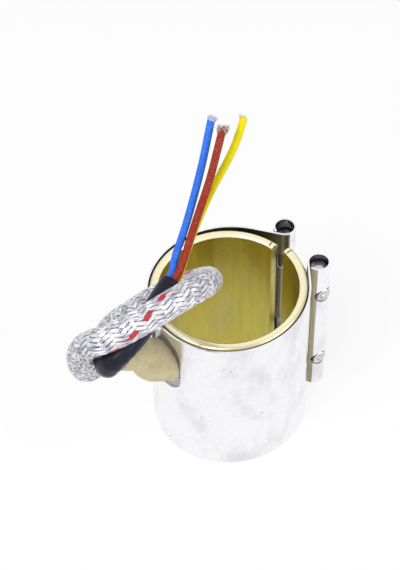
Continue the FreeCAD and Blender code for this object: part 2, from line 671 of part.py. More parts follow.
def main():
    os.makedirs("parts", exist_ok=True)
    save("brass_liner", make_brass_liner())
    save("inner_mica", band_layer(INNER_MICA_R, INNER_MICA_R + MICA, LAYER_HALF_HEIGHT))
    save("core_mica", band_layer(CORE_MICA_R, CORE_MICA_R + CORE_MICA,
                                 RIBBON_HALF_HEIGHT - RIBBON_BRIDGE))
    save("resistance_ribbon", make_resistance_ribbon())
    save("outer_mica", make_outer_mica())
    save("live_strip", make_live_strip())
    save("neutral_strip", make_neutral_strip())
    save("outer_sheath", make_outer_sheath())
    save("clamp_strap", make_clamp_strap())
    save("tapped_barrel", make_barrel(REAR_AXIS, 2 * (STRAP_HALF_HEIGHT - TAPPED_BARREL_RECESS),
                                      SCREW_R + THREAD_CLEARANCE))
    save("plain_barrel", make_plain_barrel())
    save("clamp_screw_upper", make_clamp_screw(SCREW_HEIGHT))
    save("clamp_screw_lower", make_clamp_screw(-SCREW_HEIGHT))
    save("outlet_plate", make_outlet_plate())
    save("outlet_bush", make_outlet_bush())
    for name, (seat_angle, tail) in WIRE_SEATS.items():
        save(name + "_crimp", make_crimp(seat_angle))
        save(tail, make_wire_tail(seat_angle))
    save("braided_lead", make_cord("braided_lead", lead_points(), BRAID_R))
    save("heat_shrink_sleeve", make_cord("heat_shrink_sleeve", sleeve_points(), SLEEVE_TUBE_R))
    for name, (seat_angle, route) in WIRE_ROUTES.items():
        save(name, make_cord(name, wire_points(seat_angle, route), WIRE_R))


main()
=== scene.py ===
import math
import bmesh
import bpy
import numpy as np
from mathutils import Matrix, Vector


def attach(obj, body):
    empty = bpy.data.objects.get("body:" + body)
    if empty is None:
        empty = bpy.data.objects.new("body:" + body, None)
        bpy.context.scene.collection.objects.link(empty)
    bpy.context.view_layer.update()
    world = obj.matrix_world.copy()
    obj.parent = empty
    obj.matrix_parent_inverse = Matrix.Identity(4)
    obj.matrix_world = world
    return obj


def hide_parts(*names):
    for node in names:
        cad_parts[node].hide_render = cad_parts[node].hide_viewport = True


# Finish of the band heater: lengths are written in millimetres and turned into metres by MM.

MM = 0.001
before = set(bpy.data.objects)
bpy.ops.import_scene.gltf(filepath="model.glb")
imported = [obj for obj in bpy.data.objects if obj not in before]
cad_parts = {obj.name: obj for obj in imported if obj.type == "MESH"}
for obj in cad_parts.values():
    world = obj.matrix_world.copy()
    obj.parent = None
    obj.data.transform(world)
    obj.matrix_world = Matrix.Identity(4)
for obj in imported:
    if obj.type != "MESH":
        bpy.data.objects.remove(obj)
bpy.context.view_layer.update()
rng = np.random.default_rng(5)

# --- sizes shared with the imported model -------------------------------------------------
BAND_HALF_HEIGHT = 35.0
BORE_RADIUS = 25.0
LIP_WIDTH = 3.6
SPRING_OPENING = 2.0
SPRING_ANGLE = 300.0          # degrees: the sprung part of the band runs from here
SPRING_END = 40.0             # to here
SLEEVE_R = 3.6
REAR_AXIS = (22.792, 29.329)
FRONT_AXIS = (34.2, 11.3)
BUSH_RISE = math.radians(38)
BUSH_TURN = math.radians(214)
BUSH_AXIS = np.array([math.cos(BUSH_RISE) * math.cos(BUSH_TURN),
                      math.cos(BUSH_RISE) * math.sin(BUSH_TURN),
                      math.sin(BUSH_RISE)])
SEAT_R = 30.7
SEAT_TURN = math.radians(216)
SEAT_HEIGHT = 17.0
BUSH_LENGTH = 22.0
BUSH_ORIGIN = np.array([SEAT_R * math.cos(SEAT_TURN), SEAT_R * math.sin(SEAT_TURN), SEAT_HEIGHT])
NECK_END = BUSH_ORIGIN + BUSH_LENGTH * BUSH_AXIS

LINE_STEP = 0.6               # spacing of the points that a cord's mesh follows
UV_PER_MM = 0.1
LEAD_STRAIGHT = 7.0           # mm that the lead runs on in the bush's direction
SLEEVE_TUBE_R = 3.8
WIRE_R = 1.3
WIRE_BUNDLE_R = 1.55
WIRE_LEAD_OUT = 3.5

LEAD_ROUTE = [
    (-46.9, -36.3, 39.0), (-49.0, -41.7, 43.6), (-50.1, -46.0, 51.4), (-49.9, -49.7, 61.0),
    (-48.3, -52.8, 69.3), (-45.4, -55.4, 75.5), (-40.6, -57.3, 79.3), (-34.9, -56.3, 81.6),
    (-27.7, -52.9, 83.3), (-20.1, -48.7, 84.9), (-13.4, -42.2, 83.1), (-8.5, -35.3, 78.5),
    (-6.4, -26.6, 70.2), (-6.7, -17.6, 60.7), (-9.0, -10.0, 51.4), (-14.4, -6.2, 45.0),
    (-20.2, -5.9, 41.4), (-26.0, -8.0, 40.2), (-31.2, -11.7, 39.8), (-36.1, -15.9, 40.2),
    (-40.4, -21.3, 42.2), (-42.6, -28.9, 46.2), (-42.2, -37.0, 50.6), (-40.8, -44.3, 54.6),
]
SLEEVE_ROUTE = [
    (-40.9, -53.5, 60.7), (-39.9, -57.8, 67.2), (-34.6, -55.9, 72.3), (-29.6, -48.4, 71.3),
    (-25.4, -37.0, 68.7), (-19.1, -27.2, 70.9),
]
WIRE_ROUTES = {
    "blue_wire": (180.0, [(-18.1, -19.9, 74.3), (-14.6, -14.2, 80.8),
                          (-10.7, -8.0, 91.8), (-7.6, -3.0, 102.0),
                          (-5.9, 0.3, 108.9), (-4.4, 3.2, 115.0)]),
    "brown_wire": (300.0, [(-14.4, -19.8, 75.6), (-11.4, -14.4, 82.6),
                           (-8.2, -10.3, 90.7), (-5.2, -7.2, 99.1),
                           (-2.9, -3.3, 106.8), (-1.0, -0.2, 113.2)]),
    "yellow_wire": (60.0, [(-14.2, -16.2, 72.2), (-11.5, -11.4, 77.6),
                           (-5.7, -5.6, 89.8), (0.2, -0.6, 98.8),
                           (4.3, 4.4, 105.0), (6.4, 8.6, 110.4)]),
}


# --- camera, floor and light --------------------------------------------------------------
CAMERA_LENS = 91.58
CAMERA_PLACE = (-9.797, -337.836, 436.884)
CAMERA_TILT = math.radians(90 - 49.82)
CAMERA_ROLL = math.radians(-1.954)
FLOOR_HALF_SIZE = 3000.0
FLOOR_GAP = 0.05              # mm between the band's lower edge and the floor
FLOOR_GLOW = 0.78             # share of plain white in the floor as it is seen
WORLD_LIGHT = 0.62            # strength of the surroundings, apart from where they are seen
LAMP_SIZE = 0.6
LAMP_AIM = Vector((0, 0, 0.02))


def set_camera():
    camera = bpy.data.cameras.new("camera")
    camera.sensor_width = 36.0
    camera.lens = CAMERA_LENS
    camera.clip_start = 0.01
    holder = bpy.data.objects.new("camera", camera)
    tilt = Matrix.Rotation(CAMERA_TILT, 4, "X")
    roll = Matrix.Rotation(CAMERA_ROLL, 4, "Z")
    holder.matrix_world = Matrix.Translation(Vector(CAMERA_PLACE) * MM) @ tilt @ roll
    bpy.context.scene.collection.objects.link(holder)
    bpy.context.scene.camera = holder


set_camera()


# --- mesh tools -----------------------------------------------------------------------------
def new_piece(name, vertices, faces, materials, smooth=True, slots=None, uv=None):
    """A mesh object: vertices in millimetres, faces as an index array or list, a UV per corner."""
    mesh = bpy.data.meshes.new(name)
    mesh.from_pydata((np.asarray(vertices) * MM).tolist(), [], [list(map(int, f)) for f in faces])
    if slots is not None:
        mesh.polygons.foreach_set("material_index", np.asarray(slots, dtype=np.int32))
    if uv is not None:
        layer = mesh.uv_layers.new(name="UVMap")
        layer.data.foreach_set("uv", np.asarray(uv, dtype=np.float32).ravel())
    mesh.polygons.foreach_set("use_smooth", np.full(len(mesh.polygons), smooth))
    for material in materials:
        mesh.materials.append(material)
    mesh.update()
    piece = bpy.data.objects.new(name, mesh)
    bpy.context.scene.collection.objects.link(piece)
    return piece


def grid_faces(rows, columns, wrap=False, start=0):
    """Quads of a grid: rows along the path, columns across it, closed round if wrap is set."""
    across = columns if wrap else columns - 1
    i, j = np.meshgrid(np.arange(rows - 1), np.arange(across), indexing="ij")
    right = (j + 1) % columns
    quads = np.stack([i * columns + j, i * columns + right,
                      (i + 1) * columns + right, (i + 1) * columns + j], axis=-1)
    return quads.reshape(-1, 4) + start


def smooth_line(points, step):
    """Evenly spaced points of the NURBS spline of order three whose control points are given."""
    curve = bpy.data.curves.new("line", "CURVE")
    curve.dimensions = "3D"
    curve.resolution_u = 24
    spline = curve.splines.new("NURBS")
    spline.points.add(len(points) - 1)
    for place, point in zip(spline.points, points):
        place.co = (*point, 1.0)
    spline.order_u = 3
    spline.use_endpoint_u = True
    holder = bpy.data.objects.new("line", curve)
    mesh = bpy.data.meshes.new_from_object(holder)
    line = np.empty(len(mesh.vertices) * 3)
    mesh.vertices.foreach_get("co", line)
    line = line.reshape(-1, 3)
    bpy.data.meshes.remove(mesh)
    bpy.data.objects.remove(holder)
    bpy.data.curves.remove(curve)
    along = np.concatenate([[0], np.cumsum(np.linalg.norm(np.diff(line, axis=0), axis=1))])
    places = np.linspace(0, along[-1], int(along[-1] / step) + 2)
    return np.stack([np.interp(places, along, line[:, k]) for k in range(3)], axis=1), places


def carried_frames(line):
    """Tangent and two normals at each point, carried along the line without twist."""
    tangent = np.gradient(line, axis=0)
    tangent /= np.linalg.norm(tangent, axis=1)[:, None]
    first = np.cross(tangent[0], [0.0, 0.0, 1.0])
    side = np.empty_like(tangent)
    side[0] = first / np.linalg.norm(first)
    for k in range(1, len(line)):
        turned = side[k - 1] - tangent[k] * (side[k - 1] @ tangent[k])
        side[k] = turned / np.linalg.norm(turned)
    return tangent, side, np.cross(tangent, side)


def ring_points(line, frames, radius, angle):
    """Points about each point of the line: line + radius (cos angle side + sin angle over)."""
    _, side, over = frames
    radius = np.asarray(radius)
    angle = np.asarray(angle)
    return (line[:, None, :] + (radius * np.cos(angle))[..., None] * side[:, None, :]
            + (radius * np.sin(angle))[..., None] * over[:, None, :])


# --- cords: routes --------------------------------------------------------------------------
def mm(points):
    return [np.array(point, dtype=float) for point in points]


def lead_control():
    route = mm(LEAD_ROUTE)
    joint = (route[-1] + np.array(SLEEVE_ROUTE[0])) / 2
    return [NECK_END, NECK_END + LEAD_STRAIGHT * BUSH_AXIS] + route + [joint]


def sleeve_control():
    return [lead_control()[-1]] + mm(SLEEVE_ROUTE)


def wire_control(name):
    seat_angle, route = WIRE_ROUTES[name]
    end = sleeve_control()[-1]
    along = end - sleeve_control()[-2]
    along /= np.linalg.norm(along)
    side = np.array([1.0, 0, 0]) - along * along[0]
    side /= np.linalg.norm(side)
    turn = math.radians(seat_angle)
    start = end + WIRE_BUNDLE_R * (math.cos(turn) * side + math.sin(turn) * np.cross(along, side))
    return [start, start + along * WIRE_LEAD_OUT] + mm(route)


# --- shader tools ---------------------------------------------------------------------------
def node(tree, kind, inputs=None, **settings):
    """A shader node with its settings and inputs: a socket given as an input is linked to it."""
    made = tree.nodes.new(kind)
    for name, value in settings.items():
        setattr(made, name, value)
    for name, value in (inputs or {}).items():
        if isinstance(value, bpy.types.NodeSocket):
            tree.links.new(value, made.inputs[name])
        else:
            made.inputs[name].default_value = value
    return made


def math_node(tree, operation, *values, clamp=False):
    made = node(tree, "ShaderNodeMath", dict(enumerate(values)), operation=operation)
    made.use_clamp = clamp
    return made.outputs[0]


def times(tree, first, second):
    return math_node(tree, "MULTIPLY", first, second)


def ramp(tree, value, start, end, low=0.0, high=1.0):
    """The value, from start to end, turned smoothly into low to high and held at the ends."""
    made = node(tree, "ShaderNodeMapRange",
                {"Value": value, "From Min": start, "From Max": end, "To Min": low, "To Max": high},
                interpolation_type="SMOOTHSTEP")
    return made.outputs["Result"]


def blended(tree, amount, first, second):
    """The first colour turned into the second by the amount."""
    made = node(tree, "ShaderNodeMix", data_type="RGBA")
    sockets = (made.inputs[0], made.inputs[6], made.inputs[7])
    for socket, value in zip(sockets, (amount, first, second)):
        if isinstance(value, bpy.types.NodeSocket):
            tree.links.new(value, socket)
        elif socket == made.inputs[0]:
            socket.default_value = value
        else:
            socket.default_value = (*value, 1.0)
    return made.outputs[2]


def new_group(name, inputs, outputs):
    """An empty node group with float inputs, a Vector first, and named float outputs."""
    group = bpy.data.node_groups.new(name, "ShaderNodeTree")
    group.interface.new_socket("Vector", in_out="INPUT", socket_type="NodeSocketVector")
    for label, value in inputs.items():
        socket = group.interface.new_socket(label, in_out="INPUT", socket_type="NodeSocketFloat")
        socket.default_value = value
    for label in outputs:
        group.interface.new_socket(label, in_out="OUTPUT", socket_type="NodeSocketFloat")
    given = group.nodes.new("NodeGroupInput").outputs
    return group, given, group.nodes.new("NodeGroupOutput").inputs


def blotches_group():
    """Soft clouds: noise of the given scale, stretched upwards, kept from Low to High."""
    group, given, put = new_group(
        "blotches", {"Scale": 60.0, "Stretch": 1.0, "Low": 0.45, "High": 0.7}, ["Mask"])
    parts = node(group, "ShaderNodeSeparateXYZ", {0: given["Vector"]})
    place = node(group, "ShaderNodeCombineXYZ", {
        "X": parts.outputs[0], "Y": parts.outputs[1],
        "Z": math_node(group, "DIVIDE", parts.outputs[2], given["Stretch"])})
    cloud = node(group, "ShaderNodeTexNoise",
                 {"Vector": place.outputs[0], "Scale": given["Scale"],
                  "Detail": 5.0, "Roughness": 0.6})
    group.links.new(ramp(group, cloud.outputs[0], given["Low"], given["High"]), put["Mask"])
    return group


def specks_group():
    """Small marks: cells of the given scale, a share of them kept, each a spot of its size."""
    group, given, put = new_group("specks", {"Scale": 400.0, "Size": 0.3, "Share": 0.2}, ["Mask"])
    cells = node(group, "ShaderNodeTexVoronoi",
                 {"Vector": given["Vector"], "Scale": given["Scale"]})
    chosen = node(group, "ShaderNodeSeparateColor", {0: cells.outputs["Color"]})
    kept = math_node(group, "LESS_THAN", chosen.outputs[0], given["Share"])
    spot = math_node(group, "SUBTRACT", 1.0,
                     ramp(group, cells.outputs["Distance"], times(group, given["Size"], 0.5),
                          given["Size"]))
    group.links.new(times(group, kept, spot), put["Mask"])
    return group


def strands_group():
    """Fine threads side by side: a rounded ridge for each across the strip, and a shade for each
    that changes slowly along it. The vector holds the place across, from 0 to 1, and along."""
    group, given, put = new_group("strands", {"Threads": 8.0, "Along": 6.0}, ["Height", "Shade"])
    parts = node(group, "ShaderNodeSeparateXYZ", {0: given["Vector"]})
    across = times(group, parts.outputs[0], given["Threads"])
    ridge = math_node(group, "ABSOLUTE", math_node(group, "SINE", times(group, across, math.pi)))
    place = node(group, "ShaderNodeCombineXYZ", {
        "X": math_node(group, "FLOOR", across),
        "Y": times(group, parts.outputs[1], given["Along"])})
    shade = node(group, "ShaderNodeTexNoise",
                 {"Vector": place.outputs[0], "Scale": 1.0, "Detail": 2.0})
    group.links.new(ridge, put["Height"])
    group.links.new(ramp(group, shade.outputs[0], 0.3, 0.7), put["Shade"])
    return group


def plaited_group():
    """A plaited cover: two sets of threads that lean opposite ways round a tube and pass over each
    other, as the larger of the two sets' waves. The vector holds the place round and along."""
    group, given, put = new_group("plaited", {"Round": 8.0, "Along": 8.0}, ["Height"])
    parts = node(group, "ShaderNodeSeparateXYZ", {0: given["Vector"]})
    around = times(group, times(group, parts.outputs[0], given["Round"]), math.pi)
    along = times(group, times(group, parts.outputs[1], given["Along"]), math.pi)
    left = math_node(group, "SINE", math_node(group, "ADD", around, along))
    right = math_node(group, "SINE", math_node(group, "SUBTRACT", around, along))
    over = math_node(group, "MAXIMUM", math_node(group, "ABSOLUTE", left),
                     math_node(group, "ABSOLUTE", right))
    group.links.new(over, put["Height"])
    return group


BLOTCHES = blotches_group()
SPECKS = specks_group()
STRANDS = strands_group()
PLAITED = plaited_group()


def use(tree, group, vector, output=0, **values):
    """One of the shared effects placed in a material, with its own values."""
    made = node(tree, "ShaderNodeGroup", node_tree=group)
    tree.links.new(vector, made.inputs["Vector"])
    for name, value in values.items():
        made.inputs[name].default_value = value
    return made.outputs[output]


def new_finish(name, rough=0.5, metal=0.0, **settings):
    """A material, its shader and where its pattern is read: object coordinates and the UV."""
    material = bpy.data.materials.new(name)
    material.use_nodes = True
    tree = material.node_tree
    shader = tree.nodes["Principled BSDF"]
    shader.inputs["Roughness"].default_value = rough
    shader.inputs["Metallic"].default_value = metal
    for label, value in settings.items():
        shader.inputs[label.replace("_", " ")].default_value = value
    place = node(tree, "ShaderNodeTexCoord")
    return material, tree, shader, place.outputs["Object"], place.outputs["UV"]


def bumped(tree, shader, height, distance, strength=1.0):
    """The height felt by the shader's normal; the distance is in metres."""
    made = node(tree, "ShaderNodeBump",
                {"Height": height, "Distance": distance, "Strength": strength})
    tree.links.new(made.outputs[0], shader.inputs["Normal"])


# --- finishes of the metal, ceramic and insulation ---------------------------------------------
def strap_finish():
    material, tree, shader, place, _ = new_finish("polished_strap", rough=0.16, metal=1.0)
    cloud = use(tree, BLOTCHES, place, Scale=75.0, Stretch=1.6, Low=0.44, High=0.72)
    specks = use(tree, SPECKS, place, Scale=260.0, Size=0.16, Share=0.05)
    fine = use(tree, BLOTCHES, place, Scale=900.0, Low=0.52, High=0.75)
    colour = blended(tree, times(tree, cloud, 0.55), (0.92, 0.92, 0.94), (0.62, 0.61, 0.69))
    colour = blended(tree, times(tree, fine, 0.2), colour, (0.5, 0.5, 0.55))
    colour = blended(tree, times(tree, specks, 0.7), colour, (0.12, 0.11, 0.12))
    tree.links.new(colour, shader.inputs["Base Color"])
    tree.links.new(ramp(tree, cloud, 0.0, 1.0, 0.12, 0.24), shader.inputs["Roughness"])
    return material


def brass_finish():
    """Drawn brass: olive in the bore, a painted highlight on the lip, painted brown shade on its
    outer edge.
    The attribute through_band runs from 0 on the bore's wall to 1 on the outer edge of the lip."""
    material, tree, shader, place, _ = new_finish("brass", rough=0.34, metal=1.0)
    through = node(tree, "ShaderNodeAttribute", attribute_name="through_band").outputs["Fac"]
    parts = node(tree, "ShaderNodeSeparateXYZ", {0: place})
    lip = ramp(tree, math_node(tree, "ABSOLUTE", parts.outputs[2]), 0.0332, 0.0347)
    outer = ramp(tree, through, 0.55, 0.98)
    worn = use(tree, BLOTCHES, place, Scale=70.0, Stretch=2.2, Low=0.42, High=0.66)
    drawn = use(tree, BLOTCHES, place, Scale=420.0, Stretch=9.0, Low=0.4, High=0.7)
    marks = use(tree, BLOTCHES, place, Scale=700.0, Stretch=0.12, Low=0.6, High=0.72)
    colour = blended(tree, worn, (0.62, 0.53, 0.10), (0.50, 0.42, 0.13))
    colour = blended(tree, times(tree, drawn, 0.35), colour, (0.40, 0.34, 0.08))
    colour = blended(tree, times(tree, marks, 0.4), colour, (0.24, 0.20, 0.06))
    # Painted highlight: the lip's top, found by its height, is painted pale cream.
    colour = blended(tree, lip, colour, (0.93, 0.87, 0.60))
    # Painted shade: the lip's outer edge, found by through_band, is painted brown.
    colour = blended(tree, times(tree, outer, 0.85), colour, (0.42, 0.34, 0.19))
    tree.links.new(colour, shader.inputs["Base Color"])
    tree.links.new(ramp(tree, math_node(tree, "ADD", worn, lip), 0.0, 1.0, 0.40, 0.26),
                   shader.inputs["Roughness"])
    bumped(tree, shader, drawn, 0.00002, 0.4)
    return material


def steel_finish(name, colour, dark, rough):
    """Turned or rolled steel: drawn lines along its height and a few dark marks."""
    material, tree, shader, place, _ = new_finish(name, rough=rough, metal=1.0)
    drawn = use(tree, BLOTCHES, place, Scale=500.0, Stretch=14.0, Low=0.4, High=0.7)
    specks = use(tree, SPECKS, place, Scale=500.0, Size=0.2, Share=0.08)
    shade = blended(tree, times(tree, drawn, 0.6), colour, dark)
    shade = blended(tree, times(tree, specks, 0.5), shade, (0.08, 0.08, 0.08))
    tree.links.new(shade, shader.inputs["Base Color"])
    tree.links.new(ramp(tree, drawn, 0.0, 1.0, rough, rough + 0.12), shader.inputs["Roughness"])
    return material


def ceramic_finish():
    material, tree, shader, place, _ = new_finish("ceramic", rough=0.62)
    cloud = use(tree, BLOTCHES, place, Scale=180.0, Low=0.4, High=0.68)
    grain = use(tree, BLOTCHES, place, Scale=1500.0, Low=0.45, High=0.7)
    specks = use(tree, SPECKS, place, Scale=650.0, Size=0.26, Share=0.1)
    stains = use(tree, SPECKS, place, Scale=300.0, Size=0.2, Share=0.14)
    colour = blended(tree, cloud, (0.62, 0.53, 0.31), (0.50, 0.42, 0.24))
    colour = blended(tree, times(tree, grain, 0.25), colour, (0.72, 0.66, 0.46))
    colour = blended(tree, times(tree, specks, 0.55), colour, (0.17, 0.12, 0.06))
    colour = blended(tree, times(tree, stains, 0.35), colour, (0.30, 0.22, 0.11))
    tree.links.new(colour, shader.inputs["Base Color"])
    tree.links.new(ramp(tree, grain, 0.0, 1.0, 0.55, 0.72), shader.inputs["Roughness"])
    bumped(tree, shader, grain, 0.00005, 0.6)
    return material


def mica_finish():
    material, tree, shader, place, _ = new_finish("mica", rough=0.45)
    flakes = use(tree, BLOTCHES, place, Scale=260.0, Low=0.4, High=0.6)
    colour = blended(tree, flakes, (0.55, 0.50, 0.40), (0.38, 0.33, 0.24))
    tree.links.new(colour, shader.inputs["Base Color"])
    bumped(tree, shader, flakes, 0.00004, 0.5)
    return material


BRASS = brass_finish()
STRAP = strap_finish()
BARREL = steel_finish("barrel", (0.62, 0.62, 0.64), (0.30, 0.30, 0.32), 0.22)
SCREW = steel_finish("screw", (0.72, 0.71, 0.70), (0.35, 0.34, 0.34), 0.2)
# Painted reflection and shade: the strap's faces towards the bore are painted dark olive, like the
# brass they mirror.
STRAP_INSIDE_REFLECTION_AND_SHADE = steel_finish("strap_inside_reflection_and_shade", (0.42, 0.39, 0.25), (0.24, 0.22, 0.14), 0.3)
# Painted shade: the inner walls of the sleeves are painted near black as shade and dark reflection.
SLEEVE_INSIDE_SHADE = steel_finish("sleeve_inside_shade", (0.16, 0.15, 0.16), (0.05, 0.05, 0.05), 0.25)
PLATE = steel_finish("outlet_plate", (0.50, 0.48, 0.56), (0.34, 0.33, 0.38), 0.3)
SHEATH = steel_finish("sheath", (0.66, 0.65, 0.64), (0.42, 0.41, 0.40), 0.35)
RIBBON = steel_finish("ribbon", (0.44, 0.42, 0.40), (0.28, 0.27, 0.26), 0.4)
STRIP = steel_finish("strip", (0.70, 0.68, 0.62), (0.45, 0.43, 0.38), 0.35)
CRIMP = steel_finish("crimp", (0.78, 0.77, 0.74), (0.5, 0.5, 0.48), 0.3)
CERAMIC = ceramic_finish()
MICA = mica_finish()


# --- finishes of the lead -----------------------------------------------------------------------
def carrier_finish():
    """Tinned wire lying side by side in each flat strip of the braid, with painted highlight and
    shade in patches and grooves.
    """
    material, tree, shader, _, spread = new_finish("braid_strip", rough=0.32, metal=0.9)
    height = use(tree, STRANDS, spread, 0, Threads=5.0, Along=3.0)
    shade = use(tree, STRANDS, spread, 1, Threads=5.0, Along=3.0)
    patch = use(tree, STRANDS, spread, 1, Threads=1.0, Along=2.2)
    # Painted highlight and shade: the strands are painted near white or lavender-grey in patches.
    sheen_and_shade = ramp(tree, math_node(tree, "ADD", times(tree, shade, 0.55),
                                  times(tree, patch, 0.6)), 0.25, 0.85)
    colour = blended(tree, sheen_and_shade, (0.40, 0.40, 0.48), (0.97, 0.97, 0.98))
    # Painted shade: darker in the grooves between the wires.
    groove_shade = math_node(tree, "SUBTRACT", 0.4, times(tree, height, 0.5), clamp=True)
    colour = blended(tree, groove_shade, colour, (0.20, 0.20, 0.26))
    tree.links.new(colour, shader.inputs["Base Color"])
    tree.links.new(ramp(tree, shade, 0.0, 1.0, 0.42, 0.22), shader.inputs["Roughness"])
    bumped(tree, shader, height, 0.00010, 0.6)
    return material


def tracer_finish():
    """The strip of dyed glass yarn that marks the braid."""
    material, tree, shader, _, spread = new_finish("braid_tracer", rough=0.6)
    height = use(tree, STRANDS, spread, 0, Threads=6.0, Along=4.0)
    shade = use(tree, STRANDS, spread, 1, Threads=6.0, Along=4.0)
    colour = blended(tree, shade, (0.50, 0.012, 0.020), (0.66, 0.035, 0.045))
    tree.links.new(colour, shader.inputs["Base Color"])
    bumped(tree, shader, height, 0.0001, 0.6)
    return material


def under_braid_finish():
    material, tree, shader, place, _ = new_finish("under_braid", rough=0.7)
    cloud = use(tree, BLOTCHES, place, Scale=500.0, Low=0.4, High=0.7)
    tree.links.new(blended(tree, cloud, (0.02, 0.02, 0.03), (0.10, 0.10, 0.13)),
                   shader.inputs["Base Color"])
    return material


def shrink_finish():
    material, tree, shader, place, _ = new_finish("heat_shrink", rough=0.42,
                                                  Specular_IOR_Level=0.22)
    cloud = use(tree, BLOTCHES, place, Scale=160.0, Low=0.4, High=0.7)
    fine = use(tree, BLOTCHES, place, Scale=1400.0, Low=0.45, High=0.7)
    tree.links.new(blended(tree, cloud, (0.007, 0.008, 0.018), (0.016, 0.019, 0.042)),
                   shader.inputs["Base Color"])
    tree.links.new(ramp(tree, fine, 0.0, 1.0, 0.36, 0.5), shader.inputs["Roughness"])
    bumped(tree, shader, fine, 0.00003, 0.4)
    return material


def cover_finish(name, colour, dark, pale, flecks, ticks=None):
    """A wire's plaited glass cover: its threads with painted shade where they dip, pale flecks
    where the dye is thin, and short ticks of a second yarn at a place round the wire and a spacing
    along it."""
    material, tree, shader, place, spread = new_finish(name, rough=0.55, Specular_IOR_Level=0.2)
    height = use(tree, PLAITED, spread, Round=7.0, Along=12.0)
    cloud = use(tree, BLOTCHES, place, Scale=240.0, Low=0.4, High=0.68)
    thin = use(tree, SPECKS, place, Scale=2400.0, Size=0.5, Share=0.28)
    # Painted shade: darker where the plaited threads dip.
    shade = blended(tree, math_node(tree, "SUBTRACT", 1.0, height), colour, dark)
    shade = blended(tree, times(tree, cloud, 0.5), shade, dark)
    shade = blended(tree, times(tree, thin, flecks), shade, pale)
    if ticks:
        around, spacing, mark = ticks
        parts = node(tree, "ShaderNodeSeparateXYZ", {0: spread})
        aside = math_node(tree, "ABSOLUTE", math_node(tree, "SUBTRACT", parts.outputs[0], around))
        step = math_node(tree, "FRACT", math_node(tree, "DIVIDE", parts.outputs[1], spacing))
        near = math_node(tree, "ABSOLUTE", math_node(tree, "SUBTRACT", step, 0.5))
        mask = times(tree, ramp(tree, aside, 0.13, 0.09), ramp(tree, near, 0.09, 0.06))
        shade = blended(tree, mask, shade, mark)
    tree.links.new(shade, shader.inputs["Base Color"])
    bumped(tree, shader, height, 0.0001, 0.6)
    return material


def fray_finish(name, colour, pale):
    material, tree, shader, place, _ = new_finish(name, rough=0.6)
    cloud = use(tree, BLOTCHES, place, Scale=1500.0, Low=0.35, High=0.6)
    tree.links.new(blended(tree, cloud, colour, pale), shader.inputs["Base Color"])
    return material


CARRIER = carrier_finish()
TRACER = tracer_finish()
UNDER_BRAID = under_braid_finish()
SHRINK = shrink_finish()
COVERS = {
    "blue_wire": cover_finish("blue_cover", (0.035, 0.19, 0.86), (0.018, 0.10, 0.55),
                              (0.25, 0.45, 0.92), 0.5),
    "brown_wire": cover_finish("brown_cover", (0.36, 0.034, 0.012), (0.20, 0.016, 0.007),
                               (0.62, 0.30, 0.24), 0.5),
    "yellow_wire": cover_finish("yellow_cover", (0.86, 0.77, 0.0), (0.72, 0.56, 0.0),
                                (0.90, 0.86, 0.15), 0.3, ticks=(0.5, 1.24, (0.05, 0.07, 0.01))),
}
FRAYS = {
    "blue_wire": fray_finish("blue_fray", (0.45, 0.55, 0.75), (0.85, 0.88, 0.93)),
    "brown_wire": fray_finish("brown_fray", (0.25, 0.06, 0.03), (0.75, 0.66, 0.60)),
    "yellow_wire": fray_finish("yellow_fray", (0.60, 0.45, 0.10), (0.80, 0.72, 0.50)),
}


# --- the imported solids, smoothed and finished --------------------------------------------------
def dressed(name, material, body="root", angle=30):
    """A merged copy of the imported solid, shaded smooth up to the angle, that stands for it."""
    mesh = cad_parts[name].data.copy()
    work = bmesh.new()
    work.from_mesh(mesh)
    bmesh.ops.remove_doubles(work, verts=work.verts, dist=1e-6)
    work.to_mesh(mesh)
    work.free()
    mesh.materials.clear()
    mesh.materials.append(material)
    mesh.polygons.foreach_set("use_smooth", np.ones(len(mesh.polygons), dtype=bool))
    mesh.set_sharp_from_angle(angle=math.radians(angle))
    piece = bpy.data.objects.new(name + "_finish", mesh)
    bpy.context.scene.collection.objects.link(piece)
    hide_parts(name)
    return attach(piece, body)


def face_centres(mesh):
    centres = np.empty(len(mesh.polygons) * 3)
    normals = np.empty(len(mesh.polygons) * 3)
    mesh.polygons.foreach_get("center", centres)
    mesh.polygons.foreach_get("normal", normals)
    return centres.reshape(-1, 3) / MM, normals.reshape(-1, 3)


FACES_BORE = -0.35            # how far a face's normal leans towards the bore's axis
FACES_SLEEVE = -0.3           # and towards a sleeve's
SLEEVE_MARGIN = 0.2


def dress_strap():
    """The strap: polished outside; rougher towards the bore, painted olive there as brass
    reflection and shade; painted shade inside its sleeves.
    """
    piece = dressed("clamp_strap", STRAP)
    centres, normals = face_centres(piece.data)
    level = centres[:, :2]
    outward = level / np.linalg.norm(level, axis=1)[:, None]
    slots = np.where((normals[:, :2] * outward).sum(axis=1) < FACES_BORE, 1, 0)
    for axis in (REAR_AXIS, FRONT_AXIS):
        away = level - np.array(axis)
        apart = np.linalg.norm(away, axis=1)
        leaning = (normals[:, :2] * away).sum(axis=1) < FACES_SLEEVE * apart
        slots = np.where((apart < SLEEVE_R + SLEEVE_MARGIN) & leaning, 2, slots)
    piece.data.materials.append(STRAP_INSIDE_REFLECTION_AND_SHADE)
    piece.data.materials.append(SLEEVE_INSIDE_SHADE)
    piece.data.polygons.foreach_set("material_index", slots.astype(np.int32))


